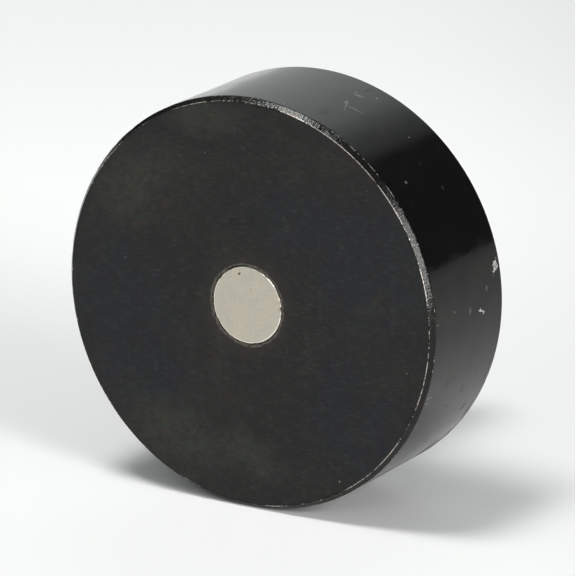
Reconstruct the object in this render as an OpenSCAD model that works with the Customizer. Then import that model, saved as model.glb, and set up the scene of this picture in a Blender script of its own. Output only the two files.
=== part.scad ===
// Single-sided magnet fishing magnet: a blackened steel pot that holds a stack of ring magnets
// round a plated hub, closed at the front by a flush cover, with a screwed-in eyebolt at the back.
// The axis runs along Y. The magnetic face lies at y = 0 and faces -Y; the eyebolt points to +Y.
// The origin is the centre of the magnetic face. Each part is drawn along its own +Z, from the
// magnetic face at z = 0 to the eyebolt, and turned onto Y by along_axis().

/* [Steel pot] */
// Outer diameter of the pot
pot_d = 75; // [64:1:120]
// Depth from the magnetic face to the back face
pot_h = 25; // [24:1:40]
// Thickness of the side wall round the magnets
wall_t = 4.5; // [3.5:0.5:8]
// Thickness of the floor behind the magnets
floor_t = 7.5; // [6:0.5:10]
// Radial width of the chamfer at the front edge
chamfer_w = 0.75; // [0.3:0.05:0.8]
// Axial height of the chamfer at the front edge
chamfer_h = 0.95; // [0.3:0.05:1.2]
// Size of the small chamfer at the back edge
back_chamfer = 0.4; // [0.2:0.1:1]

/* [Front cover] */
// Thickness of the flush cover over the magnets
cover_t = 1.5; // [1:0.1:2.5]
// Radial gap round the hub where it shows through the cover
hub_gap = 0.3; // [0.1:0.05:0.5]

/* [Ring magnets] */
// Radial width of the resin between the magnets and the pot wall
resin_w = 1; // [0.5:0.1:2]
// Radial wall of the sleeve that centres the magnets on the hub
sleeve_t = 1; // [0.6:0.1:2]

/* [Centre hub] */
// Diameter of the hub, seen as the bright disc in the face
hub_d = 14; // [13:0.5:18]
// Diameter of the flange that holds the hub against the pot floor
flange_d = 22; // [20:1:28]
// Thickness of that flange
flange_t = 3; // [2:0.5:4]

/* [Eyebolt] */
// Major diameter of the thread
thread_d = 8; // [6:1:8]
// Pitch of the thread
pitch = 1.25; // [1:0.25:1.25]
// Length of the threaded shank below the collar
shank_l = 13; // [11:1:13]
// Inside diameter of the eye
eye_d = 20; // [18:0.5:20.5]
// Diameter of the bar that forms the eye
bar_d = 8; // [7:0.5:8]
// Width of the flat land round the inside of the eye
eye_land = 4; // [2:0.5:5]
// Diameter of the collar that bears on the washer
collar_d = 20; // [18:1:24]
// Thickness of the collar at its edge
collar_t = 3.6; // [3:0.2:4.4]
// Height from the collar's seat to the top of the eye
eye_h = 36; // [35:0.5:42]

/* [Spring washer] */
// Outside diameter of the washer
washer_d = 14.8; // [13:0.1:18]
// Thickness of the washer when it is clamped flat
washer_t = 2; // [1.5:0.1:2.5]
// Width of the split in the washer
split_w = 0.9; // [0.5:0.1:1.5]
// Slant of the split, in degrees
split_slant = 20; // [10:5:35]

/* [Hidden] */
$fn = 96;
cut = 1;             // how far a cutting shape runs past what it cuts
fit_gap = 0.05;      // radial clearance between parts that slide into each other
cut_edge = 0.2;      // broken edge on a turned or stamped part
magnet_edge = 0.4;   // broken edge on a magnet
magnet_count = 2;    // rings in the stack

pot_r = pot_d / 2;
hub_r = hub_d / 2;
flange_r = flange_d / 2;

// Front edge: the cover's seat ends a narrow land short of the chamfer
land_w = 0.15;
lip_r = pot_r - chamfer_w - land_w;
cover_r = lip_r - fit_gap;

// The cavity runs from the cover's underside to the pot floor
cavity_r = pot_r - wall_t;
cavity_z = pot_h - floor_t;
magnet_r = cavity_r - resin_w;
magnet_bore_r = hub_r + sleeve_t;
magnet_t = (cavity_z - cover_t) / magnet_count;

// Screw: 60 degree ridges with flat crests and roots, then a plain neck below the collar
thread_r = thread_d / 2;
root_r = thread_r - 0.6134 * pitch;
thread_h = thread_r - root_r;
crest_w = pitch / 8;
root_w = pitch / 4;
neck_l = 1.2;
ridges = floor((shank_l - neck_l - thread_h) / pitch);
seat_z = pot_h + washer_t;

// Blind hole for the screw in the back of the hub
hole_r = thread_r + fit_gap;
hole_l = shank_l - washer_t + 4;
drill_angle = 31;
mouth_w = 0.4;

// Eye: its flat land cuts the bar's inside, so the bar's centre circle lies outside the eye
eye_r = eye_d / 2;
bar_r = bar_d / 2;
ring_r = eye_r + sqrt(pow(bar_r, 2) - pow(eye_land / 2, 2));
eye_z = seat_z + eye_h - ring_r - bar_r;

// Collar and the flared foot of the eye
collar_r = collar_d / 2;
collar_edge = 0.6;
collar_slope = 1.2;
foot_flare = 1.6;
foot_h = 3.8;

// Turns a part drawn along +Z so that it runs along +Y
module along_axis() rotate([-90, 0, 0]) children();

// A plain ring from z0 to z1
module ring(r_in, r_out, z0, z1)
    rotate_extrude() polygon([[r_in, z0], [r_out, z0], [r_out, z1], [r_in, z1]]);

// Cup with a stepped mouth for the cover and a stepped hole in its floor for the hub
module steel_pot() color("#1b1b1c") along_axis() rotate_extrude() polygon([
    [lip_r, 0],
    [pot_r - chamfer_w, 0],
    [pot_r, chamfer_h],
    [pot_r, pot_h - back_chamfer],
    [pot_r - back_chamfer, pot_h],
    [hub_r + fit_gap, pot_h],
    [hub_r + fit_gap, cavity_z + flange_t],
    [flange_r + fit_gap, cavity_z + flange_t],
    [flange_r + fit_gap, cavity_z],
    [cavity_r, cavity_z],
    [cavity_r, cover_t],
    [lip_r, cover_t]
]);

// Thin blackened plate that fills the pot's mouth, with a broken edge round the hub
module front_cover() color("#2e2f31") along_axis() rotate_extrude() polygon([
    [hub_r + hub_gap + cut_edge, 0],
    [cover_r, 0],
    [cover_r, cover_t],
    [hub_r + hub_gap, cover_t],
    [hub_r + hub_gap, cut_edge]
]);

// One ring magnet of the stack, counted from the front
module ring_magnet(index) color("#c3c3c0") along_axis()
    translate([0, 0, cover_t + index * magnet_t]) rotate_extrude() polygon([
        [magnet_bore_r, 0],
        [magnet_r - magnet_edge, 0],
        [magnet_r, magnet_edge],
        [magnet_r, magnet_t - magnet_edge],
        [magnet_r - magnet_edge, magnet_t],
        [magnet_bore_r, magnet_t]
    ]);

// Cured resin that fills the gap between the magnet stack and the pot wall
module resin_potting() color("#3a3a36") along_axis() ring(magnet_r, cavity_r, cover_t, cavity_z);

// Non-magnetic sleeve that centres the rings on the hub
module spacer_sleeve() color("#d9b96a") along_axis()
    ring(hub_r + fit_gap, magnet_bore_r, cover_t, cavity_z);

// Plated hub: its front end shows in the face, its flange bears on the pot floor from inside,
// and its back end takes the eyebolt in a blind hole
module centre_hub() color("#bdbab0") along_axis() difference() {
    rotate_extrude() polygon([
        [0, 0],
        [hub_r - cut_edge, 0],
        [hub_r, cut_edge],
        [hub_r, cavity_z],
        [flange_r, cavity_z],
        [flange_r, cavity_z + flange_t],
        [hub_r, cavity_z + flange_t],
        [hub_r, pot_h],
        [0, pot_h]
    ]);
    translate([0, 0, pot_h - hole_l]) {
        cylinder(r = hole_r, h = hole_l + cut);
        translate([0, 0, -hole_r * tan(drill_angle)])
            cylinder(r1 = 0, r2 = hole_r, h = hole_r * tan(drill_angle));
    }
    translate([0, 0, pot_h - mouth_w])
        cylinder(r1 = hole_r, r2 = hole_r + mouth_w + cut, h = mouth_w + cut);
}

// Split ring, shown clamped flat under the collar
module spring_washer() color("#8f9092") along_axis() difference() {
    ring(thread_r + fit_gap, washer_d / 2, pot_h, seat_z);
    translate([0, -washer_d / 2, pot_h + washer_t / 2]) rotate([0, split_slant, 0])
        cube([split_w, washer_d, 3 * washer_t], center = true);
}

// One ridge of the thread, from its back root to its front root
function ridge(z0) = [
    [root_r, z0 + pitch - root_w / 2],
    [thread_r, z0 + (pitch + crest_w) / 2],
    [thread_r, z0 + (pitch - crest_w) / 2],
    [root_r, z0 + root_w / 2]
];

// Threaded shank: one ridge for each pitch, between a plain neck and a chamfered tip
module shank() {
    tip_z = seat_z - shank_l;
    rotate_extrude() polygon([
        [0, seat_z + cut],
        [root_r, seat_z + cut],
        for (i = [1 : ridges]) each ridge(seat_z - neck_l - i * pitch),
        [root_r, tip_z + thread_h / 2],
        [root_r - thread_h / 2, tip_z],
        [0, tip_z]
    ]);
}

// Collar and the flared foot that runs up into the eye
module collar() translate([0, 0, seat_z]) rotate_extrude() polygon([
    [0, 0],
    [collar_r - collar_edge, 0],
    [collar_r, collar_edge],
    [collar_r, collar_t],
    [collar_r - collar_slope, collar_t + collar_slope],
    [bar_r + foot_flare, collar_t + foot_flare],
    [bar_r - collar_edge, collar_t + foot_h],
    [0, collar_t + foot_h]
]);

// Forged ring of round bar, with a flat land inside where the rope or shackle bears
module eye() translate([0, 0, eye_z]) rotate([0, 90, 0]) difference() {
    rotate_extrude() translate([ring_r, 0]) circle(r = bar_r);
    cylinder(r = eye_r, h = bar_d + 2 * cut, center = true);
}

module eyebolt() color("#b9bbbd") along_axis() {
    shank();
    collar();
    eye();
}

steel_pot();
front_cover();
ring_magnet(0);  // magnet_front
ring_magnet(1);  // magnet_rear
resin_potting();
spacer_sleeve();
centre_hub();
spring_washer();
eyebolt();
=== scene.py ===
"""Looks for the magnet fishing magnet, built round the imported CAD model.

The magnet stands on its rim: its face looks along -Y and its eyebolt points along +Y. All but
the eyebolt's head is turned or swept round the Y axis. Lengths are in metres, and sizes come from
the CAD boxes where these give them.
"""

import math

import bmesh
import bpy
import numpy as np
from mathutils import Matrix, Vector


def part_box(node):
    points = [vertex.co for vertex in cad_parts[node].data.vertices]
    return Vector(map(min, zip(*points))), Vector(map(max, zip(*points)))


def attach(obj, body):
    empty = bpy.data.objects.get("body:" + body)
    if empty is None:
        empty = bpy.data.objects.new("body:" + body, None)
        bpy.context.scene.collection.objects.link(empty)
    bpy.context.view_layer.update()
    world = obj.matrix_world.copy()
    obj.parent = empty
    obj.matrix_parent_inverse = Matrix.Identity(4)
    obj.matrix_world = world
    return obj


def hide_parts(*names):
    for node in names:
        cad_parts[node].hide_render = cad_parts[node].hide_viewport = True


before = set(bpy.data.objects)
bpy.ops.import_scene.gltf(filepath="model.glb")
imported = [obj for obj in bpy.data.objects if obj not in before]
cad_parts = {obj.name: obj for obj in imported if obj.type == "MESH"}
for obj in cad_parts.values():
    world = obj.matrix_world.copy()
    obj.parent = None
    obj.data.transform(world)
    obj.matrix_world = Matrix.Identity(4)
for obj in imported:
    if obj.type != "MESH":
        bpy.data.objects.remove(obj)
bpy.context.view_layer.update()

MM = 0.001

# ---- Sizes, read from the CAD nodes where their boxes give them ------------------------------

POT_R = -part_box("steel_pot")[0].x
POT_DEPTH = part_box("steel_pot")[1].y
FLOOR_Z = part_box("steel_pot")[0].z
COVER_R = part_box("front_cover")[1].x
COVER_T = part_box("front_cover")[1].y
CAVITY_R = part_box("resin_potting")[1].x
CAVITY_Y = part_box("resin_potting")[1].y
FLANGE_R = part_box("centre_hub")[1].x
WASHER_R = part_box("spring_washer")[1].x
SEAT_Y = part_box("spring_washer")[1].y
COLLAR_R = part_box("eyebolt")[1].x
EYE_TOP_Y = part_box("eyebolt")[1].y
SCREW_TIP_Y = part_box("eyebolt")[0].y
EYE_OUTER_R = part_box("eyebolt")[1].z
EYE_Y = EYE_TOP_Y - EYE_OUTER_R

FIT_GAP = 0.05 * MM
LIP_R = COVER_R + FIT_GAP
CHAMFER_W = 0.75 * MM
CHAMFER_H = 0.95 * MM
HUB_R = 7 * MM
HUB_GAP = 0.3 * MM
FLANGE_T = 3 * MM
EYE_R = 10 * MM
THREAD_R = 4 * MM
PITCH = 1.25 * MM
ROOT_R = THREAD_R - 0.6134 * PITCH
HOLE_END_Y = POT_DEPTH - 15 * MM
DRILL_POINT = 2 * MM
MOUTH_R = THREAD_R + 0.45 * MM
MOUTH_H = 0.4 * MM
NECK_L = 1.2 * MM
SPLIT_W = 0.9 * MM
SPLIT_SLANT = math.radians(20)

# ---- Camera ----------------------------------------------------------------------------------

VIEW_AZIMUTH = math.radians(31.05)
VIEW_ELEVATION = math.radians(16.67)
VIEW_DISTANCE = 24.547 * POT_R
AIM_RIGHT = 0.189 * POT_R
AIM_UP = 0.0805 * POT_R
LENS_MM = 327.7


def make_camera():
    """A long lens that looks at the face from the right and a little above."""
    sin_a, cos_a = math.sin(VIEW_AZIMUTH), math.cos(VIEW_AZIMUTH)
    sin_e, cos_e = math.sin(VIEW_ELEVATION), math.cos(VIEW_ELEVATION)
    right = Vector((cos_a, sin_a, 0))
    back = Vector((sin_a * cos_e, -cos_a * cos_e, sin_e))
    up = back.cross(right)
    data = bpy.data.cameras.new("camera")
    data.lens = LENS_MM
    data.clip_start, data.clip_end = 0.01, 30
    camera = bpy.data.objects.new("camera", data)
    bpy.context.scene.collection.objects.link(camera)
    turn = Matrix((right, up, back)).transposed().to_4x4()
    place = right * AIM_RIGHT + up * AIM_UP + back * VIEW_DISTANCE
    camera.matrix_world = Matrix.Translation(place) @ turn
    bpy.context.scene.camera = camera


# ---- Studio ----------------------------------------------------------------------------------

FLOOR_HALF = 12.0
HORIZON_LEFT = 1.0
HORIZON_RIGHT = 0.48
DOME_LEVEL = 0.30
DARK_LEVEL = 0.04
DOME_TINT = (0.93, 1.0, 0.965, 1)
HORIZON_TOP = 0.03   # z of a direction, where the pale horizon gives way to the dome

# How the backdrop brightens round the Y axis: start and end in degrees from +X towards +Z, rise
BACKDROP_STEPS = [
    (69, 79, 0.30),
    (79, 112, 0.70),
    (120, 170, -0.25),
]

# Lights: name, direction, width, height and level
LIGHT_DISTANCE = 1.1
LIGHTS = [
    ("top_light", (-0.16, -0.20, 0.965), 0.32, 0.32, 21.2),
    ("right_light", (0.87, -0.37, 0.30), 0.30, 0.60, 17),
    ("front_light", (0.22, -0.85, 0.48), 0.62, 0.30, 2.0),
]
# Floor paper: its pale tone near the magnet, and the darker tone of painted shade to the right of
# the camera's view
NEAR_PAPER = (0.93, 0.93, 0.925, 1)
SHADED_SIDE_PAPER = (0.70, 0.70, 0.695, 1)


def softbox(name, direction, width, height, level):
    """A rectangular area light aimed at the magnet. level is the radiance of its front."""
    data = bpy.data.lights.new(name, "AREA")
    data.shape = "RECTANGLE"
    data.size = width
    data.size_y = height
    data.energy = level * math.pi * width * height
    light = bpy.data.objects.new(name, data)
    bpy.context.scene.collection.objects.link(light)
    away = Vector(direction).normalized()
    light.location = away * LIGHT_DISTANCE
    light.rotation_euler = away.to_track_quat("Z", "Y").to_euler()


def make_sky():
    """The room round the set: a pale horizon, a dome that is dim in front and dark to the sides,
    and a white backdrop at the back left.

    The back right stays dark. The rim's gloss shows it as a black band between two grey ones.
    """
    world = bpy.data.worlds.new("studio")
    bpy.context.scene.world = world
    world.use_nodes = True
    g = Graph(world.node_tree)
    x, y, z = g.split(g.coordinates("Generated"))
    around = g.math("ARCTAN2", z, x)
    backdrop = DARK_LEVEL
    for start, end, rise in BACKDROP_STEPS:
        step = g.ramp(around, math.radians(start), math.radians(end), 0.0, rise)
        backdrop = g.math("ADD", backdrop, step)
    dome = g.ramp(y, 0.0, 0.15, DOME_LEVEL, DARK_LEVEL)
    dome = g.blend(g.ramp(y, 0.45, 0.65), dome, backdrop)
    horizon = g.ramp(x, -0.3, 0.3, HORIZON_LEFT, HORIZON_RIGHT)
    above = g.ramp(z, HORIZON_TOP - 0.004, HORIZON_TOP + 0.004)
    background = world.node_tree.nodes["Background"]
    g.feed(background.inputs["Strength"], g.blend(above, horizon, dome))
    g.feed(background.inputs["Color"], g.mix(above, (1, 1, 1, 1), DOME_TINT))


def make_floor():
    """A wide pale floor under the rim, with painted shade that makes it duller to the right of the
    camera's view.

    It glows a little far off, and behind the magnet, where the lights fall away.
    """
    h = FLOOR_HALF
    mesh = bpy.data.meshes.new("floor")
    mesh.from_pydata([(-h, -h, 0), (h, -h, 0), (h, h, 0), (-h, h, 0)], [], [(0, 1, 2, 3)])
    floor = bpy.data.objects.new("floor", mesh)
    bpy.context.scene.collection.objects.link(floor)
    floor.location.z = FLOOR_Z
    shader = Shader("floor_paper")
    x, y, _ = shader.split(shader.place)
    sin_a, cos_a = math.sin(VIEW_AZIMUTH), math.cos(VIEW_AZIMUTH)
    beside = shader.math("ADD", shader.both(x, cos_a), shader.both(y, sin_a))
    behind = shader.math("SUBTRACT", shader.both(y, cos_a), shader.both(x, sin_a))
    away = shader.vector_math("LENGTH", shader.place)
    # Painted shade: the paper darkens to the right of the camera's view
    tone = shader.ramp(beside, 0.02, 0.16)
    shader.set("Base Color", shader.mix(tone, NEAR_PAPER, SHADED_SIDE_PAPER))
    shader.set("Roughness", 0.9)
    shader.set("Specular IOR Level", 0.1)
    far = shader.both(shader.ramp(away, 0.30, 1.4), shader.ramp(x, -0.3, 0.5, 0.52, 0.32))
    near = shader.both(shader.ramp(behind, 0.0, 0.24), shader.ramp(beside, 0.08, 0.24, 0.15, 0.0))
    shader.set("Emission Color", (1, 1, 1, 1))
    shader.set("Emission Strength", shader.math("ADD", far, near))
    mesh.materials.append(shader.material)


def make_studio():
    make_sky()
    make_floor()
    for light in LIGHTS:
        softbox(*light)
    bpy.context.scene.view_settings.view_transform = "Standard"


# ---- Shader building -------------------------------------------------------------------------


class Graph:
    """Node building. Values may be numbers, colours or the output of another node."""

    def __init__(self, tree):
        self.nodes = tree.nodes
        self.links = tree.links

    def feed(self, socket, value):
        if isinstance(value, bpy.types.NodeSocket):
            self.links.new(value, socket)
        elif value is not None:
            socket.default_value = value

    def coordinates(self, kind):
        return self.nodes.new("ShaderNodeTexCoord").outputs[kind]

    def math(self, operation, a, b=None, c=None):
        node = self.nodes.new("ShaderNodeMath")
        node.operation = operation
        for socket, value in zip(node.inputs, (a, b, c)):
            self.feed(socket, value)
        return node.outputs[0]

    def vector_math(self, operation, a, b=None):
        """The result as a vector, or as a number for LENGTH and DISTANCE."""
        node = self.nodes.new("ShaderNodeVectorMath")
        node.operation = operation
        self.feed(node.inputs[0], a)
        self.feed(node.inputs["Scale" if operation == "SCALE" else 1], b)
        return node.outputs["Value" if operation in ("LENGTH", "DISTANCE") else "Vector"]

    def ramp(self, value, low, high, to_low=0.0, to_high=1.0):
        """value from low to high becomes to_low to to_high, eased and clamped."""
        node = self.nodes.new("ShaderNodeMapRange")
        node.interpolation_type = "SMOOTHSTEP"
        for name, given in (("Value", value), ("From Min", low), ("From Max", high),
                            ("To Min", to_low), ("To Max", to_high)):
            self.feed(node.inputs[name], given)
        return node.outputs[0]

    def blend(self, factor, a, b):
        """Number a where factor is 0, number b where it is 1."""
        node = self.nodes.new("ShaderNodeMix")
        for socket, value in zip(node.inputs, (factor, None, a, b)):
            self.feed(socket, value)
        return node.outputs[0]

    def mix(self, factor, a, b):
        """Colour a where factor is 0, colour b where it is 1."""
        node = self.nodes.new("ShaderNodeMix")
        node.data_type = "RGBA"
        self.feed(node.inputs["Factor"], factor)
        self.feed(node.inputs[6], a)
        self.feed(node.inputs[7], b)
        return node.outputs[2]

    def split(self, vector):
        node = self.nodes.new("ShaderNodeSeparateXYZ")
        self.feed(node.inputs[0], vector)
        return node.outputs

    def join(self, x, y, z):
        node = self.nodes.new("ShaderNodeCombineXYZ")
        for socket, value in zip(node.inputs, (x, y, z)):
            self.feed(socket, value)
        return node.outputs[0]


class Shader(Graph):
    """One material, with the patterns that the finishes share."""

    def __init__(self, name):
        self.material = bpy.data.materials.new(name)
        self.material.use_nodes = True
        super().__init__(self.material.node_tree)
        self.surface = self.nodes["Principled BSDF"]
        self.place = self.coordinates("Object")
        x, y, z = self.split(self.place)
        self.depth = y
        self.radius = self.vector_math("LENGTH", self.join(x, 0.0, z))
        self.arc = self.math("MULTIPLY", self.math("ARCTAN2", x, z), POT_R)
        self.unrolled = self.join(self.arc, self.depth, 0.0)

    def set(self, name, value):
        self.feed(self.surface.inputs[name], value)

    def stretch(self, vector, longer, turn=(0, 0, 0)):
        """Makes what the vector draws this many times longer along each axis, then turns it."""
        node = self.nodes.new("ShaderNodeMapping")
        node.vector_type = "TEXTURE"
        self.feed(node.inputs["Vector"], vector)
        node.inputs["Scale"].default_value = longer
        node.inputs["Rotation"].default_value = turn
        return node.outputs[0]

    def noise_node(self, vector, size, detail, roughness):
        node = self.nodes.new("ShaderNodeTexNoise")
        self.feed(node.inputs["Vector"], vector)
        node.inputs["Scale"].default_value = 1 / size
        node.inputs["Detail"].default_value = detail
        node.inputs["Roughness"].default_value = roughness
        return node

    def noise(self, vector, size, detail=3.0, roughness=0.5):
        """Cloudy noise from 0 to 1, with features of about this size in metres."""
        return self.noise_node(vector, size, detail, roughness).outputs["Fac"]

    def warp(self, vector, size, amount):
        """The vector pushed about at random, which gives what it draws a ragged outline."""
        push = self.noise_node(vector, size, 3, 0.6).outputs["Color"]
        push = self.vector_math("SUBTRACT", push, (0.5, 0.5, 0.5))
        return self.vector_math("ADD", vector, self.vector_math("SCALE", push, amount))

    def cells(self, vector, size):
        """Distance to the nearest of a scatter of points, in units of size."""
        node = self.nodes.new("ShaderNodeTexVoronoi")
        self.feed(node.inputs["Vector"], vector)
        node.inputs["Scale"].default_value = 1 / size
        return node.outputs["Distance"]

    def spot(self, vector, centre, reach, turn=(0, 0, 0), soft=0.3):
        """1 inside an ellipsoid with these half axes, falling to 0 across its soft edge."""
        node = self.nodes.new("ShaderNodeMapping")
        node.vector_type = "TEXTURE"
        self.feed(node.inputs["Vector"], vector)
        node.inputs["Location"].default_value = centre
        node.inputs["Rotation"].default_value = turn
        node.inputs["Scale"].default_value = reach
        out = self.vector_math("LENGTH", node.outputs[0])
        return self.ramp(out, 1 - soft, 1 + soft, 1.0, 0.0)

    def round_point(self, x, z, reach):
        """1 round a point of the face, falling to 0 at this reach from it, all in mm."""
        away = self.vector_math("DISTANCE", self.place, (x * MM, 0, z * MM))
        return self.ramp(away, 0.3 * reach * MM, reach * MM, 1, 0)

    def edge(self, radius, depth, reach):
        """1 along a turned edge of the pot, falling to 0 at this reach from it."""
        point = self.join(self.radius, self.depth, 0.0)
        return self.ramp(self.vector_math("DISTANCE", point, (radius, depth, 0)), 0, reach, 1, 0)

    def span(self, start, end, soft):
        """1 between two angles on the rim, in degrees from +X towards +Z, with soft ends."""
        first, last, ease = arc_of(start), arc_of(end), math.radians(soft) * POT_R
        rise = self.ramp(self.arc, first - ease, first + ease)
        fall = self.ramp(self.arc, last - ease, last + ease, 1.0, 0.0)
        return self.both(rise, fall)

    def bump(self, height, depth, under=None):
        """Relief: height from 0 to 1 stands for this depth in metres."""
        node = self.nodes.new("ShaderNodeBump")
        node.inputs["Distance"].default_value = depth
        self.feed(node.inputs["Height"], height)
        self.feed(node.inputs["Normal"], under)
        return node.outputs[0]

    def any_of(self, *masks):
        result = masks[0]
        for mask in masks[1:]:
            result = self.math("MAXIMUM", result, mask)
        return result

    def both(self, a, b):
        return self.math("MULTIPLY", a, b)

    def opposite(self, mask):
        return self.math("SUBTRACT", 1.0, mask)


def arc_of(angle):
    """Distance round the rim from its top, for an angle in degrees from +X towards +Z."""
    return math.radians(90 - angle) * POT_R


# ---- Materials -------------------------------------------------------------------------------

BARE_STEEL = (0.56, 0.54, 0.50, 1)
WARM_STEEL = (0.52, 0.44, 0.40, 1)
CHIP_GREY = (0.46, 0.46, 0.43, 1)

# Marks on the rim: angle in degrees from +X towards +Z, depth behind the face, half length round
# the rim, half length along it (all mm), and the turn in degrees
CHIPS = [
    (9.9, 23.0, 0.32, 1.05, 5),
    (11.6, 23.3, 0.62, 0.48, 0),
    (10.9, 22.6, 0.40, 0.35, 0),
    (0.5, 17.0, 0.22, 0.60, -25),
    (-0.3, 17.9, 0.22, 0.50, 10),
    (158.0, 8.0, 0.9, 0.5, 20),
    (204.0, 21.5, 0.8, 1.0, -15),
    (262.0, 12.0, 0.5, 0.8, 30),
]
SCUFFS = [
    (70.0, 12.2, 0.15, 1.9, 24),
    (71.0, 13.4, 0.36, 0.6, 24),
    (67.3, 12.7, 1.5, 0.22, 12),
    (72.9, 18.9, 0.26, 0.24, 0),
    (71.3, 18.2, 0.90, 0.28, 24),
    (2.6, 1.7, 0.14, 0.45, 8),
    (-18.6, 2.3, 0.12, 0.9, 6),
    (-20.0, 2.0, 0.12, 0.7, -5),
    (-27.4, 1.9, 0.12, 0.8, 0),
    (41.4, 6.7, 0.25, 0.34, 0),
    (44.6, 14.0, 0.14, 0.16, 0),
    (4.0, 7.6, 0.18, 0.32, 0),
    (36.0, 15.7, 0.30, 0.10, 0),
    (2.1, 13.2, 0.5, 0.3, 0),
    (6.0, 19.3, 0.35, 0.3, 0),
    (-38.0, 22.8, 2.6, 0.8, 0),
    (170.0, 16.0, 2.2, 0.3, 30),
    (228.0, 9.0, 3.0, 0.3, -20),
]
SMUDGES = [
    (-15.9, 8.0, 1.6, 1.5, 0),
    (-15.6, 10.0, 0.6, 0.6, 0),
    (-18.1, 19.2, 0.8, 0.7, 0),
    (-21.9, 15.4, 1.0, 0.8, 0),
    (-30.0, 20.0, 1.0, 0.9, 0),
    (-34.0, 23.6, 3.0, 0.9, 0),
    (-12.6, 14.5, 0.5, 0.5, 0),
    (-25.5, 11.6, 0.9, 0.5, 10),
    (-43.0, 24.0, 4.5, 1.1, -6),
    (-51.0, 21.5, 4.0, 3.2, 10),
    (-55.0, 9.0, 2.6, 5.0, 0),
    (-64.0, 12.0, 8.0, 16.0, 0),
    (70.6, 5.6, 0.8, 1.6, 0),
    (72.0, 21.9, 0.5, 1.2, 0),
    (140.0, 14.0, 3.0, 2.0, 0),
    (195.0, 9.0, 2.4, 2.0, 0),
]

# Strokes that cut across the rubbed stretch of the chamfer, near its end
SCORES = [
    (72.4, 0.50, 0.13, 0.40, 8),
    (71.2, 0.40, 0.11, 0.24, 8),
    (70.2, 0.62, 0.13, 0.24, 0),
    (68.9, 0.50, 0.17, 0.50, 8),
    (67.5, 0.50, 0.22, 0.60, 8),
    (66.2, 0.50, 0.30, 0.60, 8),
]


def rim_marks(s, marks, ragged, soft):
    """The marks of one list, on the unrolled rim."""
    masks = []
    for angle, depth, half_arc, half_depth, turn in marks:
        centre = (arc_of(angle), depth * MM, 0)
        reach = (half_arc * MM, half_depth * MM, 1)
        masks.append(s.spot(ragged, centre, reach, (0, 0, math.radians(turn)), soft))
    return s.any_of(*masks)


def worn_edges(s, grit):
    """Two masks: bare metal along the pot's edges, and the rubbed stretches of its chamfer."""
    patch = s.noise(s.place, 8 * MM, 2, 0.5)
    broken = s.math("ADD", grit, patch)
    inner = s.edge(POT_R - CHAMFER_W, 0, 0.15 * MM)
    outer = s.edge(POT_R, CHAMFER_H, 0.13 * MM)
    rear = s.edge(POT_R, POT_DEPTH, 0.45 * MM)
    heavy = s.any_of(
        s.span(84, 34, 3),
        s.both(s.span(18, -20, 4), 0.6),
        s.both(s.span(-20, -62, 3), 0.35),
    )
    inner = s.both(inner, s.ramp(s.math("ADD", broken, s.both(heavy, 0.17)), 1.00, 1.22))
    chafed = s.both(s.span(66, 40, 4), 0.10)
    outer = s.both(outer, s.ramp(s.math("ADD", broken, chafed), 1.12, 1.24))
    rear = s.both(rear, s.ramp(broken, 1.10, 1.22))
    rubbed = s.any_of(
        s.span(81, 68.5, 2),
        s.span(37, 14, 4),
        s.both(s.span(113, 80, 4), 0.50),
    )
    on_chamfer = s.ramp(s.depth, 0.97 * CHAMFER_H, 0.9 * CHAMFER_H)
    on_chamfer = s.both(on_chamfer, s.ramp(s.radius, POT_R - CHAMFER_W, POT_R - 0.9 * CHAMFER_W))
    return s.any_of(inner, outer, rear), s.both(rubbed, on_chamfer)


# Scratches on the back face, as for the front: x, z, half axes and turn
BACK_SCRATCHES = [
    (-21.0, 12.0, 5.0, 0.10, -30),
    (-17.0, 16.5, 2.4, 0.09, -65),
    (18.0, 20.0, 3.6, 0.10, 25),
    (24.0, -9.0, 4.4, 0.10, 70),
    (-12.0, -23.0, 3.8, 0.12, 10),
    (9.0, -27.0, 2.2, 0.10, 50),
    (-28.0, -8.0, 2.4, 0.10, 85),
    (4.0, 28.0, 3.0, 0.10, 5),
]


def back_marks(s, grit):
    """Scratches on the back face, and the ring that the washer has rubbed there."""
    scratches = face_marks(s, BACK_SCRATCHES, s.warp(s.place, 3 * MM, 0.8 * MM), 0.5)
    ring = s.edge(WASHER_R + 0.35 * MM, POT_DEPTH, 0.7 * MM)
    ring = s.both(ring, s.ramp(s.noise(s.place, 1.6 * MM, 4, 0.6), 0.35, 0.60))
    broken = s.ramp(grit, 0.35, 0.60, 0.15, 0.9)
    return s.both(s.any_of(scratches, ring), broken)


def chamfer_flecks(s, rubbed):
    """Bright flecks in the rubbed stretches of the chamfer, and their tone, lighter at the top."""
    grain = s.noise(s.place, 0.30 * MM, 2, 0.7)
    flecks = s.math("ADD", grain, s.both(rubbed, 0.255))
    flecks = s.both(s.ramp(flecks, 0.66, 0.74), s.ramp(rubbed, 0.0, 0.1))
    tone = s.mix(s.ramp(grain, 0.35, 0.7), (0.014, 0.014, 0.013, 1), (0.066, 0.067, 0.063, 1))
    top_tone = s.mix(grain, (0.02, 0.02, 0.018, 1), (0.110, 0.110, 0.102, 1))
    return flecks, s.mix(s.span(114, 55, 4), tone, top_tone)


def hazy_black(s):
    """The paint's own colour: nearly black, with a thin brown and green haze over most of it."""
    cloud = s.noise(s.place, 12 * MM, 4, 0.6)
    paint = s.mix(cloud, (0.0028, 0.0030, 0.0032, 1), (0.0050, 0.0050, 0.0044, 1))
    haze = s.ramp(s.noise(s.warp(s.unrolled, 6 * MM, 4 * MM), 4.5 * MM, 4, 0.6), 0.30, 0.75)
    haze = s.both(haze, s.opposite(s.span(54, 14, 3)))
    hue = s.ramp(s.noise(s.place, 6 * MM, 4, 0.7), 0.36, 0.64)
    haze_tone = s.mix(hue, (0.0122, 0.0092, 0.0080, 1), (0.0070, 0.0094, 0.0088, 1))
    return s.mix(haze, paint, haze_tone)


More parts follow.
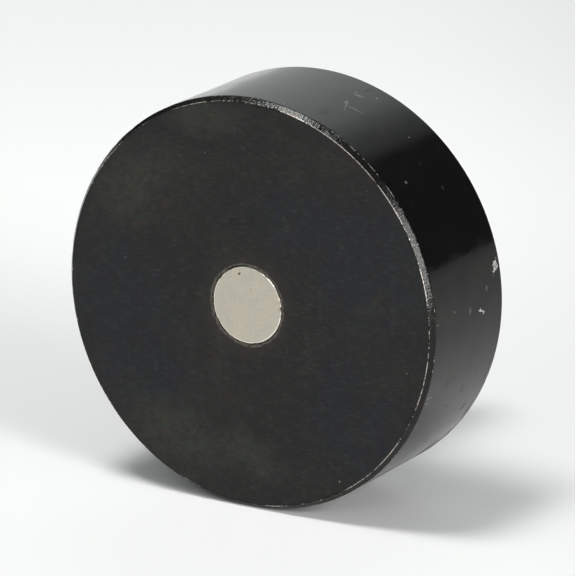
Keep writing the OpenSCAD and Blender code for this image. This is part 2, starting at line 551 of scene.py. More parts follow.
def paint_relief(s, at_back, chips, scores):
    """A hatched chamfer, an uneven skin, turning rings at the back, sunk chips and scores."""
    slant = s.join(s.arc, s.math("SUBTRACT", s.depth, s.radius), 0.0)
    hatch = s.noise(s.stretch(slant, (1, 4, 1), (0, 0, math.radians(25))), 0.30 * MM, 2, 0.6)
    speckle = s.noise(s.place, 0.34 * MM, 2, 0.6)
    cut = s.math("ADD", hatch, s.both(speckle, 1.2))
    on_chamfer = s.ramp(s.depth, CHAMFER_H * 0.96, CHAMFER_H * 0.9)
    relief = s.bump(s.both(cut, on_chamfer), 0.040 * MM)
    relief = s.bump(s.noise(s.place, 1.3 * MM, 3, 0.5), 0.0065 * MM, relief)
    relief = s.bump(s.noise(s.place, 5 * MM, 2, 0.5), 0.020 * MM, relief)
    rings = s.noise(s.join(s.radius, 0.0, 0.0), 0.45 * MM, 3, 0.6)
    relief = s.bump(s.both(rings, at_back), 0.012 * MM, relief)
    relief = s.bump(s.opposite(chips), 0.05 * MM, relief)
    return s.bump(s.opposite(scores), 0.12 * MM, relief)


def black_paint():
    """Glossy blackened steel: chips, scuffs and smudges, and bare metal along its edges."""
    s = Shader("black_paint")
    grit = s.noise(s.place, 0.55 * MM, 4, 0.65)
    ragged = s.warp(s.unrolled, 0.9 * MM, 3.2 * MM)
    chips = rim_marks(s, CHIPS, ragged, 0.12)
    scuffs = rim_marks(s, SCUFFS, s.warp(s.unrolled, 1.2 * MM, 0.7 * MM), 0.6)
    smudges = rim_marks(s, SMUDGES, s.warp(s.unrolled, 2.5 * MM, 2.0 * MM), 0.7)
    nick = s.nodes.new("ShaderNodeAttribute")
    nick.attribute_name = "nick"
    nicked = s.ramp(s.both(nick.outputs["Fac"], s.math("ADD", grit, 0.4)), 0.62, 0.70)
    specks = s.ramp(s.cells(s.place, 7 * MM), 0.018, 0.028, 1.0, 0.0)
    bare, rubbed = worn_edges(s, grit)
    scores = rim_marks(s, SCORES, s.unrolled, 0.4)
    rubbed = s.both(rubbed, s.opposite(scores))
    bare = s.any_of(bare, nicked)
    flecks, fleck_tone = chamfer_flecks(s, rubbed)

    at_back = s.ramp(s.depth, POT_DEPTH - 0.06 * MM, POT_DEPTH - 0.02 * MM)
    paint = hazy_black(s)
    paint = s.mix(s.both(smudges, 0.8), paint, (0.0125, 0.0096, 0.0074, 1))
    paint = s.mix(s.both(scuffs, s.ramp(grit, 0.35, 0.6, 0.35, 0.8)), paint, (0.12, 0.125, 0.12, 1))
    warmth = s.ramp(s.noise(s.place, 3 * MM), 0.40, 0.60)
    warmth = s.both(warmth, s.ramp(s.depth, 0.3 * MM, 0.2 * MM))
    metal = s.mix(warmth, BARE_STEEL, WARM_STEEL)
    paint = s.mix(s.both(at_back, back_marks(s, grit)), paint, (0.14, 0.135, 0.125, 1))
    colour = s.mix(flecks, paint, fleck_tone)
    colour = s.mix(bare, colour, metal)
    chip_tone = s.mix(grit, (0.30, 0.29, 0.27, 1), CHIP_GREY)
    colour = s.mix(s.any_of(chips, s.both(specks, 0.6)), colour, chip_tone)
    s.set("Base Color", colour)
    s.set("Metallic", s.any_of(s.both(bare, 0.9), flecks))

    smear = s.noise(s.stretch(s.unrolled, (1, 2, 1)), 3.5 * MM, 5, 0.7)
    gloss = s.ramp(smear, 0.35, 0.70, 0.07, 0.19)
    gloss = s.blend(s.both(smudges, 0.7), gloss, 0.42)
    s.set("Roughness", s.blend(s.any_of(bare, chips, flecks), gloss, 0.40))
    s.set("Specular IOR Level", 0.25)
    s.set("Specular Tint", (0.955, 1.0, 0.975, 1))
    s.set("Normal", paint_relief(s, at_back, chips, scores))
    return s.material


# Cloudy patches on the face: centre (x, z), half axes and turn in degrees, in mm
OLIVE_PATCHES = [
    (-23.4, 19.0, 10.0, 5.5, -40),
    (-15.0, -26.5, 9.5, 5.0, 20),
    (-1.0, -28.0, 8.0, 3.5, 10),
    (-8.0, 33.0, 7.0, 3.0, 0),
]
BLUE_PATCHES = [
    (25.0, 9.0, 10.0, 10.0, 0),
    (22.0, -17.0, 8.0, 9.0, 0),
    (-27.0, -3.0, 10.0, 10.0, 0),
    (-22.0, -15.0, 9.0, 6.0, 0),
    (12.0, 17.0, 9.0, 5.0, 0),
]
SCRATCHES = [
    (7.6, 16.9, 0.9, 0.06, 65),
    (8.3, 15.4, 0.7, 0.06, 20),
    (11.6, -6.6, 1.7, 0.05, 40),
    (8.2, -7.4, 1.2, 0.05, 75),
    (19.5, -10.5, 2.2, 0.05, 50),
    (-15.5, -25.0, 2.2, 0.06, 12),
    (-10.8, -24.6, 2.6, 0.06, -58),
    (-21.0, 20.0, 2.2, 0.05, -48),
    (3.0, -30.5, 2.4, 0.05, 8),
]


def face_marks(s, marks, ragged, soft):
    """The marks of one list, on the flat face."""
    masks = []
    for x, z, half_length, half_width, turn in marks:
        reach = (half_length * MM, 1, half_width * MM)
        centre = (x * MM, 0, z * MM)
        masks.append(s.spot(ragged, centre, reach, (0, math.radians(turn), 0), soft))
    return s.any_of(*masks)


def hatch_at(s, turn):
    """Fine straight strokes across the face, at this angle in degrees."""
    strokes = s.stretch(s.warp(s.place, 4 * MM, 0.8 * MM), (9, 1, 1), (0, math.radians(turn), 0))
    return s.ramp(s.noise(strokes, 0.42 * MM, 3, 0.6), 0.56, 0.72)


def cloudy_black(s, fine, strokes):
    """The face's own colour: satin black with blue and olive clouds and a grain of strokes."""
    ragged = s.warp(s.place, 9 * MM, 9 * MM)
    cloud = s.noise(s.stretch(s.place, (1.4, 1, 1)), 11 * MM, 5, 0.65)
    olive = s.any_of(face_marks(s, OLIVE_PATCHES, ragged, 0.7), s.ramp(cloud, 0.56, 0.74, 0, 0.35))
    blue = s.any_of(face_marks(s, BLUE_PATCHES, ragged, 0.8), s.ramp(cloud, 0.47, 0.28, 0, 0.6))
    blue = s.both(blue, s.ramp(s.noise(s.place, 5 * MM, 4, 0.65), 0.3, 0.6))

    clouded = s.ramp(cloud, 0.3, 0.7)
    colour = s.mix(clouded, (0.0068, 0.0069, 0.0065, 1), (0.0128, 0.0118, 0.0098, 1))
    teal = s.mix(s.noise(s.place, 7 * MM), (0.0058, 0.0078, 0.0165, 1), (0.0072, 0.0106, 0.0122, 1))
    colour = s.mix(blue, colour, teal)
    mottle = s.noise(s.stretch(s.place, (1.6, 1, 1)), 2.2 * MM, 5, 0.7)
    olive = s.both(olive, s.ramp(mottle, 0.25, 0.65, 0.55, 1.15))
    colour = s.mix(olive, colour, (0.0215, 0.0222, 0.0168, 1))
    texture = s.ramp(fine, 0.25, 0.75, -0.4, 0.4)
    texture = s.math("ADD", texture, s.ramp(strokes, 0.3, 0.7, -0.6, 0.6))
    texture = s.math("ADD", texture, s.ramp(mottle, 0.3, 0.7, -0.3, 0.3))
    colour = s.mix(s.ramp(texture, 0.0, 1.1, 0.0, 0.50), colour, (0.034, 0.033, 0.029, 1))
    return s.mix(s.ramp(texture, 0.0, -1.2, 0.0, 0.62), colour, (0.0030, 0.0033, 0.0038, 1))


def round_the_hub(s, colour):
    """Adds to the face's colour a haze and rubbed edge round the hub, and the filled joint, with
    painted shade in its gap above the hub.
    """
    wander = s.noise(s.place, 2.2 * MM, 4, 0.6)
    reach = s.math("ADD", s.radius, s.ramp(wander, 0.3, 0.7, -0.16 * MM, 0.16 * MM))
    rub = s.ramp(reach, HUB_R + 0.48 * MM, HUB_R + 0.68 * MM, 1.0, 0.0)
    rub = s.both(rub, s.ramp(s.noise(s.place, 0.7 * MM, 4, 0.65), 0.36, 0.60, 0.2, 1.0))
    rub = s.both(rub, s.ramp(s.depth, 0.06 * MM, 0.02 * MM))
    haze = s.ramp(s.radius, HUB_R, HUB_R + 4 * MM, 0.22, 0.0)
    colour = s.mix(haze, colour, (0.040, 0.034, 0.027, 1))
    colour = s.mix(s.both(rub, 0.75), colour, (0.120, 0.104, 0.085, 1))
    joint = s.both(s.ramp(s.depth, 0.01 * MM, 0.03 * MM), s.ramp(s.radius, 8.5 * MM, 8.0 * MM))
    resin = s.mix(s.ramp(wander, 0.42, 0.58), (0.016, 0.013, 0.010, 1), (0.085, 0.066, 0.050, 1))
    # Painted shade: a near-black patch on the filled joint above the hub and a little to its left,
    # where the gap lies in shade
    gap_shade_at, gap_shade_reach = (-2.0 * MM, 0, 6.9 * MM), (2.8 * MM, 1, 0.6 * MM)
    painted_gap_shade = s.spot(s.place, gap_shade_at, gap_shade_reach, (0, math.radians(-17), 0))
    resin = s.mix(painted_gap_shade, resin, (0.003, 0.003, 0.003, 1))
    return s.mix(joint, colour, resin)


def black_face():
    """Satin black plate: cloudy blue and olive tints, fine strokes, dust, a rubbed inner edge."""
    s = Shader("black_face")
    fine = s.noise(s.place, 0.9 * MM, 4, 0.7)
    strokes = s.noise(s.stretch(s.place, (5, 1, 1)), 0.36 * MM, 3, 0.6)
    colour = cloudy_black(s, fine, strokes)
    hatched = s.any_of(
        s.both(s.round_point(-20, 18, 13), hatch_at(s, -50)),
        s.both(s.round_point(-12, -26, 13), hatch_at(s, 55)),
    )
    colour = s.mix(s.both(hatched, 0.4), colour, (0.045, 0.044, 0.037, 1))
    tint = s.noise_node(s.place, 1.1 * MM, 3, 0.6).outputs["Color"]
    tint = s.vector_math("SCALE", s.vector_math("SUBTRACT", tint, (0.5, 0.5, 0.5)), 1.3)
    colour = s.vector_math("MULTIPLY", colour, s.vector_math("ADD", tint, (0.90, 0.90, 0.92)))

    scratch = face_marks(s, SCRATCHES, s.warp(s.place, 3 * MM, 0.5 * MM), 0.6)
    scratch = s.both(scratch, s.ramp(fine, 0.35, 0.6, 0.1, 0.6))
    colour = s.mix(scratch, colour, (0.065, 0.063, 0.055, 1))
    dust = s.ramp(s.cells(s.place, 5.2 * MM), 0.022, 0.036, 1.0, 0.0)
    dust = s.both(dust, s.ramp(s.noise(s.place, 6 * MM), 0.45, 0.6, 0.12, 0.7))
    colour = s.mix(dust, colour, (0.32, 0.31, 0.29, 1))

    colour = round_the_hub(s, colour)
    s.set("Base Color", colour)
    s.set("Roughness", s.ramp(fine, 0.3, 0.7, 0.40, 0.52))
    s.set("Specular IOR Level", 0.25)
    relief = s.bump(fine, 0.012 * MM)
    relief = s.bump(strokes, 0.004 * MM, relief)
    s.set("Normal", relief)
    return s.material


# Dents and pin holes in the hub's bright end: x, z and half size, in mm
HUB_PITS = [
    (-1.67, 5.50, 0.24),
    (0.78, 2.97, 0.10),
    (0.20, 4.60, 0.07),
    (-3.60, 4.60, 0.07),
    (-1.50, 5.66, 0.16),
    (6.80, 0.30, 0.22),
    (6.85, -0.90, 0.13),
    (6.66, 1.50, 0.13),
    (6.10, 1.30, 0.09),
]


def nickel():
    """Warm dull nickel plate with faint turning rings, stains and pin holes."""
    s = Shader("nickel")
    rings = s.noise(s.join(s.radius, 0.0, 0.0), 0.16 * MM, 2, 0.6)
    stain = s.noise(s.place, 3.2 * MM, 4, 0.6)
    fine = s.noise(s.place, 0.45 * MM, 3, 0.6)
    colour = s.mix(s.ramp(stain, 0.38, 0.62), (0.512, 0.486, 0.419, 1), (0.578, 0.517, 0.427, 1))
    colour = s.mix(s.ramp(fine, 0.3, 0.7, 0.0, 0.40), colour, (0.42, 0.40, 0.34, 1))
    ragged = s.warp(s.place, 0.5 * MM, 0.3 * MM)
    pits = []
    for x, z, size in HUB_PITS:
        pits.append(s.spot(ragged, (x * MM, 0, z * MM), (size * MM, 1, size * MM), soft=0.35))
    pitted = s.any_of(*pits)
    burnished = s.ramp(s.edge(HUB_R, 0, 0.34 * MM), 0.1, 0.5)
    colour = s.mix(burnished, colour, (0.86, 0.83, 0.76, 1))
    colour = s.mix(s.both(pitted, 0.8), colour, (0.10, 0.09, 0.07, 1))
    s.set("Base Color", colour)
    s.set("Metallic", 1.0)
    s.set("Roughness", s.blend(burnished, s.ramp(stain, 0.3, 0.7, 0.32, 0.42), 0.15))
    relief = s.bump(rings, 0.003 * MM)
    relief = s.bump(fine, 0.010 * MM, relief)
    relief = s.bump(s.opposite(pitted), 0.05 * MM, relief)
    s.set("Normal", relief)
    return s.material


def zinc():
    """Bright zinc plate over forged steel: soft spangle, darker stains, a pebbled skin."""
    s = Shader("zinc")
    cloud = s.noise(s.place, 5 * MM, 4, 0.6)
    spangle = s.noise(s.place, 1.2 * MM, 2, 0.5)
    colour = s.mix(cloud, (0.56, 0.57, 0.58, 1), (0.70, 0.71, 0.71, 1))
    colour = s.mix(s.ramp(spangle, 0.4, 0.65, 0.0, 0.3), colour, (0.42, 0.43, 0.45, 1))
    stain = s.ramp(s.noise(s.place, 3.2 * MM, 5, 0.7), 0.55, 0.75)
    low = s.ramp(s.depth, SEAT_Y + 9 * MM, SEAT_Y + 3 * MM, 0.15, 0.7)
    colour = s.mix(s.both(stain, low), colour, (0.24, 0.22, 0.19, 1))
    pits = s.both(s.ramp(s.cells(s.place, 2.6 * MM), 0.05, 0.09, 1.0, 0.0), 0.7)
    colour = s.mix(pits, colour, (0.16, 0.15, 0.14, 1))
    lines = s.noise(s.stretch(s.place, (1, 8, 1), (0.5, 0.2, 0.3)), 0.6 * MM, 2, 0.5)
    rubbed = s.ramp(lines, 0.66, 0.72, 0.0, 0.5)
    colour = s.mix(rubbed, colour, (0.82, 0.82, 0.80, 1))
    s.set("Base Color", colour)
    s.set("Metallic", 1.0)
    s.set("Roughness", s.blend(s.any_of(stain, pits), s.ramp(cloud, 0.3, 0.7, 0.27, 0.42), 0.6))
    relief = s.bump(s.noise(s.place, 1.8 * MM, 3, 0.6), 0.05 * MM)
    relief = s.bump(spangle, 0.012 * MM, relief)
    relief = s.bump(s.opposite(pits), 0.03 * MM, relief)
    s.set("Normal", relief)
    return s.material


def spring_steel():
    """Darker plated spring steel with draw marks along the wire."""
    s = Shader("spring_steel")
    drawn = s.noise(s.join(s.radius, s.depth, 0.0), 0.12 * MM, 2, 0.6)
    cloud = s.noise(s.place, 3 * MM, 3, 0.6)
    s.set("Base Color", s.mix(cloud, (0.30, 0.30, 0.31, 1), (0.42, 0.41, 0.40, 1)))
    s.set("Metallic", 1.0)
    s.set("Roughness", s.ramp(cloud, 0.3, 0.7, 0.3, 0.45))
    s.set("Normal", s.bump(drawn, 0.008 * MM))
    return s.material


# Dark and light tone of each finish inside the pot
MAGNET_TONES = (0.52, 0.51, 0.49, 1), (0.62, 0.61, 0.58, 1)
RESIN_TONES = (0.02, 0.02, 0.018, 1), (0.04, 0.04, 0.035, 1)
BRASS_TONES = (0.62, 0.43, 0.17, 1), (0.72, 0.53, 0.24, 1)


def hidden_finish(name, dark, light, metallic, rough):
    """A finish for the parts inside the pot: two close tones, with grain in colour and gloss."""
    s = Shader(name)
    cloud = s.noise(s.place, 4 * MM, 4, 0.6)
    grain = s.noise(s.place, 0.6 * MM, 3, 0.6)
    s.set("Base Color", s.mix(cloud, dark, light))
    s.set("Metallic", metallic)
    s.set("Roughness", s.ramp(grain, 0.3, 0.7, rough - 0.06, rough + 0.08))
    s.set("Normal", s.bump(grain, 0.01 * MM))
    return s.material


# ---- Mesh building ---------------------------------------------------------------------------

SHARP = math.radians(32)


def turn_outwards(mesh):
    """Turns the faces of a closed mesh so that they all look outwards."""
    work = bmesh.new()
    work.from_mesh(mesh)
    bmesh.ops.recalc_face_normals(work, faces=work.faces)
    work.to_mesh(mesh)
    work.free()


def finish_mesh(name, points, faces, sharp=SHARP):
    """An object from points and faces, smooth except at corners sharper than the limit."""
    mesh = bpy.data.meshes.new(name)
    mesh.from_pydata(points, [], faces)
    mesh.validate()
    turn_outwards(mesh)
    mesh.shade_smooth()
    mesh.set_sharp_from_angle(angle=sharp)
    piece = bpy.data.objects.new(name, mesh)
    bpy.context.scene.collection.objects.link(piece)
    return piece


def fillet(corners, steps=4):
    """Rounds an outline. corners are (radius, y, fillet radius); 0 leaves a corner sharp."""
    outline = []
    count = len(corners)
    for i, (r, y, size) in enumerate(corners):
        here = Vector((r, y))
        if size == 0:
            outline.append((r, y))
            continue
        before = (Vector(corners[i - 1][:2]) - here).normalized()
        after = (Vector(corners[(i + 1) % count][:2]) - here).normalized()
        half = before.angle(after) / 2
        reach = size / math.tan(half)
        centre = here + (before + after).normalized() * (size / math.sin(half))
        start = here + before * reach - centre
        end = here + after * reach - centre
        for k in range(steps + 1):
            t = k / steps
            spoke = start.lerp(end, t).normalized() * size
            outline.append(tuple(centre + spoke))
    return outline


def turned(rows, segments, closed=True):
    """Points and faces of rows turned round the Y axis.

    A row is (radius, y), and the radius may be an array with one value for each segment. A
    closed outline joins its last row to its first. An open one starts and ends on the axis.
    """
    angle = np.arange(segments) * 2 * math.pi / segments
    sin_a, cos_a = np.sin(angle), np.cos(angle)
    points, rings = [], []
    for radius, y in rows:
        first = len(points)
        if np.isscalar(radius) and radius == 0:
            points.append((0.0, y, 0.0))
            rings.append([first] * segments)
            continue
        r = np.broadcast_to(radius, segments)
        points.extend(zip(r * cos_a, np.full(segments, y), r * sin_a))
        rings.append(list(range(first, first + segments)))
    pairs = list(zip(rings, rings[1:]))
    if closed:
        pairs.append((rings[-1], rings[0]))
    faces = []
    for a, b in pairs:
        for j in range(segments):
            k = (j + 1) % segments
            corners = [a[j], a[k], b[k], b[j]]
            face = [c for n, c in enumerate(corners) if c not in corners[:n]]
            if len(face) > 2:
                faces.append(face)
    return points, faces


def thread_rows(low_y, high_y, grow, end_r, segments, runout, rows_per_pitch=16):
    """Rows of a right-hand V thread from high_y down to low_y, that fades to end_r at both ends.

    grow moves the whole profile outwards, which makes the thread of a hole. A screw fades to its
    root and a hole to its widest, so that neither runs into the other.
    """
    angle = np.arange(segments) / segments
    flat = 1 / 8
    count = round((high_y - low_y) / PITCH * rows_per_pitch)
    rows = []
    for i in range(count + 1):
        y = high_y + (low_y - high_y) * i / count
        phase = (y / PITCH + angle) % 1.0
        peak = 1 - np.abs(2 * phase - 1)
        height = np.clip((peak - flat * 2) / (1 - flat * 3), 0, 1) * (THREAD_R - ROOT_R)
        fade = np.clip(min(y - low_y, high_y - y) / runout, 0, 1)
        rows.append((end_r + (ROOT_R + grow + height - end_r) * fade, y))
    return rows


def surface_from_field(field, low, high, cell):
    """Points and faces of a distance field's zero surface, by surface nets.

    Each cell that the surface passes through gets one point, and Newton steps then draw the
    points onto the surface.
    """
    axes = [np.arange(a - 2 * cell, b + 3 * cell, cell) for a, b in zip(low, high)]
    inside = field(np.stack(np.meshgrid(*axes, indexing="ij"), -1)) < 0
    total = np.zeros(np.array(inside.shape) - 1, int)
    for dx in (0, 1):
        for dy in (0, 1):
            for dz in (0, 1):
                total += inside[dx:, dy:, dz:][: total.shape[0], : total.shape[1], : total.shape[2]]
    mixed = (total > 0) & (total < 8)
    number = np.full(total.shape, -1)
    cells = np.argwhere(mixed)
    number[mixed] = np.arange(len(cells))
    points = np.array([a[0] for a in axes]) + (cells + 0.5) * cell
    step = cell * 0.05
    for _ in range(6):
        value = field(points)
        slope = np.stack([field(points + step * e) - field(points - step * e)
                          for e in np.eye(3)], -1) / (2 * step)
        points = points - slope * (value / np.maximum((slope ** 2).sum(-1), 1e-6))[:, None]
    faces = []
    for axis in range(3):
        along = np.eye(3, dtype=int)
        u, v = along[(axis + 1) % 3], along[(axis + 2) % 3]
        head = np.take(inside, range(1, inside.shape[axis]), axis)
        tail = np.take(inside, range(inside.shape[axis] - 1), axis)
        for at in np.argwhere(head != tail):
            ring = [number[tuple(at - s)] for s in (0 * u, u, u + v, v)]
            faces.append([int(n) for n in (ring if tail[tuple(at)] else ring[::-1])])
    return points, faces


def joined(*parts):
    """Several (points, faces) as one."""
    points, faces = [], []
    for part_points, part_faces in parts:
        first = len(points)
        points.extend(tuple(float(c) for c in p) for p in part_points)
        faces.extend([c + first for c in face] for face in part_faces)
    return points, faces


# ---- Pieces ----------------------------------------------------------------------------------


def dent(piece, edges, seed, count, length, width, depth, span=(-180, 180)):
    """Small dents along turned edges.

    The first call on a piece also keeps how deep each vertex is dented, for its paint.
    An edge is (radius, y). Sizes are the largest half length, half width and depth. span is
    where on the edge they may lie, in degrees from +X towards +Z.
    """
    rng = np.random.default_rng(seed)
    co = np.zeros(len(piece.data.vertices) * 3)
    piece.data.vertices.foreach_get("co", co)
    co = co.reshape(-1, 3)
    radius = np.maximum(np.hypot(co[:, 0], co[:, 2]), MM)
    angle = np.arctan2(co[:, 2], co[:, 0])
    dented = np.zeros(len(co))
    for edge_r, edge_y in edges:
        for _ in range(count):
            at = math.radians(rng.uniform(*span))
            half_length = length * rng.uniform(0.3, 1.0)
            half_width = width * rng.uniform(0.5, 1.0)
            strength = rng.uniform(0.35, 1.0)
            gap = (angle - at + math.pi) % (2 * math.pi) - math.pi
            around = gap * edge_r / half_length
            across = np.hypot(radius - edge_r, co[:, 1] - edge_y) / half_width
            dented = np.maximum(dented, strength * np.exp(-(around ** 2 + across ** 2)))
    middle_y = POT_DEPTH / 2
    push = np.stack([-co[:, 0] / radius, np.sign(middle_y - co[:, 1]), -co[:, 2] / radius], -1)
    co += push * depth * dented[:, None]
    piece.data.vertices.foreach_set("co", co.ravel())
    if "nick" not in piece.data.attributes:
        marks = piece.data.attributes.new("nick", "FLOAT", "POINT")
        marks.data.foreach_set("value", dented.astype(np.float32))
    piece.data.update()


BACK_EDGE = 0.4 * MM
EDGE_ROW = 0.4 * MM   # rows beside an edge, which keep its dents and its rounding off the flats


def pot():
    """The turned steel cup, with rounded edges and nicks."""
    middle_r, middle_y = POT_R - CHAMFER_W / 2, CHAMFER_H / 2
    outline = fillet([
        (LIP_R, 0, 0.02 * MM),
        (POT_R - CHAMFER_W, 0, 0.06 * MM),
        (middle_r - CHAMFER_W / 4, middle_y / 2, 0),
        (middle_r, middle_y, 0),
        (middle_r + CHAMFER_W / 4, middle_y * 3 / 2, 0),
        (POT_R, CHAMFER_H, 0.12 * MM),
        (POT_R, CHAMFER_H + EDGE_ROW, 0),
        (POT_R, CHAMFER_H + 2 * EDGE_ROW, 0),
        (POT_R, POT_DEPTH - BACK_EDGE - 2 * EDGE_ROW, 0),
        (POT_R, POT_DEPTH - BACK_EDGE - EDGE_ROW, 0),
        (POT_R, POT_DEPTH - BACK_EDGE, 0.15 * MM),
        (POT_R - BACK_EDGE, POT_DEPTH, 0.15 * MM),
        (POT_R - BACK_EDGE - EDGE_ROW, POT_DEPTH, 0),
        (POT_R - BACK_EDGE - 2 * EDGE_ROW, POT_DEPTH, 0),
        (HUB_R + FIT_GAP + 2 * EDGE_ROW, POT_DEPTH, 0),
        (HUB_R + FIT_GAP + EDGE_ROW, POT_DEPTH, 0),
        (HUB_R + FIT_GAP, POT_DEPTH, 0.04 * MM),
        (HUB_R + FIT_GAP, CAVITY_Y + FLANGE_T, 0),
        (FLANGE_R + FIT_GAP, CAVITY_Y + FLANGE_T, 0),
        (FLANGE_R + FIT_GAP, CAVITY_Y, 0),
        (CAVITY_R, CAVITY_Y, 0),
        (CAVITY_R, COVER_T, 0),
        (LIP_R, COVER_T, 0),
    ], steps=3)
    piece = finish_mesh("pot", *turned(outline, 1080))
    edges = [(POT_R - CHAMFER_W, 0), (POT_R, CHAMFER_H), (POT_R - BACK_EDGE / 2, POT_DEPTH)]
    dent(piece, edges, seed=7, count=34, length=0.8 * MM, width=0.18 * MM, depth=0.06 * MM)
    return piece


def cover():
    """The plate in the pot's mouth. Its hole closes in below the face, like a filled joint."""
    joint_r = HUB_R + 0.02 * MM
    joint_depth = 0.035 * MM
    outline = fillet([
        (HUB_R + HUB_GAP, 0, 0.04 * MM),
        (HUB_R + HUB_GAP + EDGE_ROW, 0, 0),
        (HUB_R + HUB_GAP + 2 * EDGE_ROW, 0, 0),
        (COVER_R - 2 * EDGE_ROW, 0, 0),
        (COVER_R - EDGE_ROW, 0, 0),
        (COVER_R, 0, 0.02 * MM),
        (COVER_R, COVER_T, 0),
        (joint_r, COVER_T, 0),
        (joint_r, joint_depth, 0.02 * MM),
        (HUB_R + HUB_GAP - 0.08 * MM, joint_depth, 0.02 * MM),
    ], steps=3)
    return finish_mesh("cover", *turned(outline, 256))


def hub():
    """The plated hub, with a threaded hole in its back end."""
    segments = 256
    edge = 0.09 * MM
    outline = fillet([
        (HUB_R - 1.6 * MM, 0, 0),
        (HUB_R - 1.2 * MM, 0, 0),
        (HUB_R - 0.8 * MM, 0, 0),
        (HUB_R - 1.6 * edge, 0, 0.16 * MM),
        (HUB_R, edge, 0.07 * MM),
        (HUB_R, 0.8 * MM, 0),
        (HUB_R, 1.2 * MM, 0),
        (HUB_R, CAVITY_Y, 0),
        (FLANGE_R, CAVITY_Y, 0),
        (FLANGE_R, CAVITY_Y + FLANGE_T, 0),
        (HUB_R, CAVITY_Y + FLANGE_T, 0),
        (HUB_R, POT_DEPTH, 0.05 * MM),
        (HUB_R - EDGE_ROW, POT_DEPTH, 0),
        (HUB_R - 2 * EDGE_ROW, POT_DEPTH, 0),
        (MOUTH_R, POT_DEPTH, 0),
    ])
    thread = thread_rows(HOLE_END_Y, POT_DEPTH - MOUTH_H, grow=FIT_GAP, end_r=THREAD_R + FIT_GAP,
                         segments=segments, runout=0.8 * MM)
    rows = [(0, 0)] + outline + thread + [(0, HOLE_END_Y - DRILL_POINT)]
    piece = finish_mesh("hub", *turned(rows, segments, closed=False))
    rim = [(HUB_R, 0)]
    dent(piece, rim, seed=3, count=14, length=0.4 * MM, width=0.3 * MM, depth=0.06 * MM)
    dent(piece, rim, seed=5, count=6, length=0.45 * MM, width=0.45 * MM, depth=0.22 * MM,
         span=(-9, 18))
    return piece


def washer():
    """The split spring washer, pressed flat, with slanted ends and rolled corners."""
    steps = 160
    inner_r, bevel = THREAD_R + FIT_GAP, 0.25 * MM
    section = fillet([
        (inner_r, POT_DEPTH, bevel),
        (WASHER_R, POT_DEPTH, bevel),
        (WASHER_R, SEAT_Y, bevel),
        (inner_r, SEAT_Y, bevel),
    ])
    middle_y = (POT_DEPTH + SEAT_Y) / 2
    split = SPLIT_W / WASHER_R
    slant = math.tan(SPLIT_SLANT) / WASHER_R
    points = []
    for i in range(steps + 1):
        a = split / 2 + (2 * math.pi - split) * i / steps
        for r, y in section:
            turn = a + slant * (y - middle_y) + math.pi / 2
            points.append((r * math.cos(turn), y, r * math.sin(turn)))
    n = len(section)
    faces = [[i * n + j, i * n + (j + 1) % n, (i + 1) * n + (j + 1) % n, (i + 1) * n + j]
             for i in range(steps) for j in range(n)]
    faces += [list(range(n)), list(range(steps * n, steps * n + n))]
    return finish_mesh("washer", points, faces)


def soft_min(a, b, width):
    """The lesser of two fields, blended over this width as a fillet."""
    h = np.clip(0.5 + 0.5 * (b - a) / width, 0, 1)
    return b + (a - b) * h - width * h * (1 - h)


def soft_max(a, b, width):
    return -soft_min(-a, -b, width)


# Forged head of the eyebolt
FLASH = 0.10 * MM        # height of the forging seam round the eye
LAND_CUT = 0.5359 * MM   # what the flat land inside the eye takes off the bar
COLLAR_TOP = 4.8 * MM
FOOT_R = 6.2 * MM
FOOT_TAPER = 0.35        # how fast the foot narrows with height
FOOT_SCALE = 0.94        # turns the tapered field into a distance, near enough
FOOT_H = 8 * MM


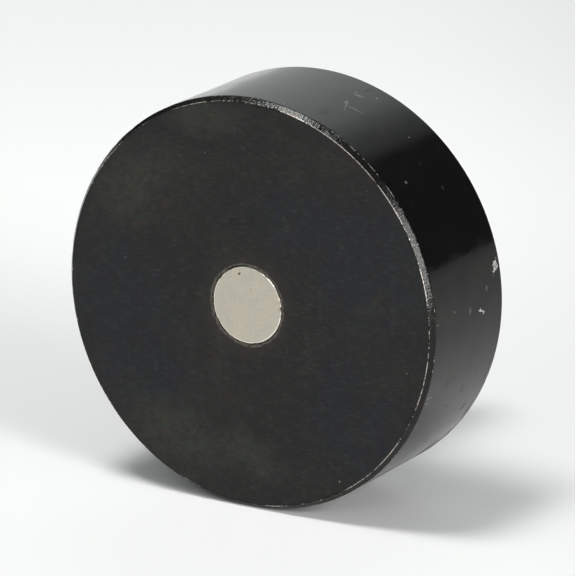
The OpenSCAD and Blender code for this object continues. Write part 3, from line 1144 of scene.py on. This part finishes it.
def eye_field(p):
    """Distance field of the forged head: a ring of bar that grows out of a round collar."""
    x, y, z = p[..., 0], p[..., 1], p[..., 2]
    bar_r = (EYE_OUTER_R - EYE_R + LAND_CUT) / 2 - FLASH
    ring_r = EYE_OUTER_R - FLASH - bar_r
    out = np.hypot(y - EYE_Y, z)
    ring = np.hypot(out - ring_r, x) - bar_r
    seam = np.exp(-((x / (0.45 * MM)) ** 2)) * np.clip((out - ring_r) / bar_r, 0, 1)
    ring = ring - FLASH * seam
    ring = soft_max(ring, EYE_R - out, 0.5 * MM)
    axis = np.hypot(x, z)
    height = y - SEAT_Y
    collar = soft_max(axis - COLLAR_R, height - COLLAR_TOP, 1.6 * MM)
    foot = (axis - FOOT_R + FOOT_TAPER * height) * FOOT_SCALE
    foot = soft_max(foot, height - FOOT_H, 1.5 * MM)
    body = soft_min(collar, foot, 2.5 * MM)
    body = soft_min(body, ring, 3.0 * MM)
    body = soft_max(body, EYE_R - out, 0.8 * MM)
    return soft_max(body, -height, 0.5 * MM)


def eyebolt():
    """Forged eye and collar, and a threaded shank whose top is buried in them."""
    segments = 96
    head = surface_from_field(
        eye_field,
        (-COLLAR_R, SEAT_Y, -EYE_OUTER_R),
        (COLLAR_R, EYE_TOP_Y, EYE_OUTER_R),
        0.42 * MM,
    )
    tip = 0.4 * MM
    top_y = SEAT_Y + 2 * MM
    rows = [(0, top_y), (ROOT_R, top_y)]
    rows += thread_rows(SCREW_TIP_Y + tip, SEAT_Y - NECK_L, grow=0, end_r=ROOT_R,
                        segments=segments, runout=0.9 * MM)
    rows += [(ROOT_R - tip, SCREW_TIP_Y), (0, SCREW_TIP_Y)]
    shank = turned(rows, segments, closed=False)
    return finish_mesh("eyebolt_forged", *joined(head, shank), sharp=math.radians(50))


def show(piece, body, node, material):
    """Puts a finished piece in the place of its CAD node."""
    piece.data.materials.append(material)
    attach(piece, body)
    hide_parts(node)


def repaint(node, material):
    """Gives a CAD node that stays as it is a new material."""
    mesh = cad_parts[node].data
    mesh.materials.clear()
    mesh.materials.append(material)


make_camera()
make_studio()

show(pot(), "magnet_body", "steel_pot", black_paint())
show(cover(), "magnet_body", "front_cover", black_face())
show(hub(), "magnet_body", "centre_hub", nickel())
show(washer(), "washer", "spring_washer", spring_steel())
show(eyebolt(), "eyebolt", "eyebolt", zinc())

magnet_plate = hidden_finish("magnet_plate", *MAGNET_TONES, metallic=1.0, rough=0.32)
repaint("magnet_front", magnet_plate)
repaint("magnet_rear", magnet_plate)
repaint("resin_potting", hidden_finish("resin", *RESIN_TONES, metallic=0.0, rough=0.4))
repaint("spacer_sleeve", hidden_finish("brass", *BRASS_TONES, metallic=1.0, rough=0.3))
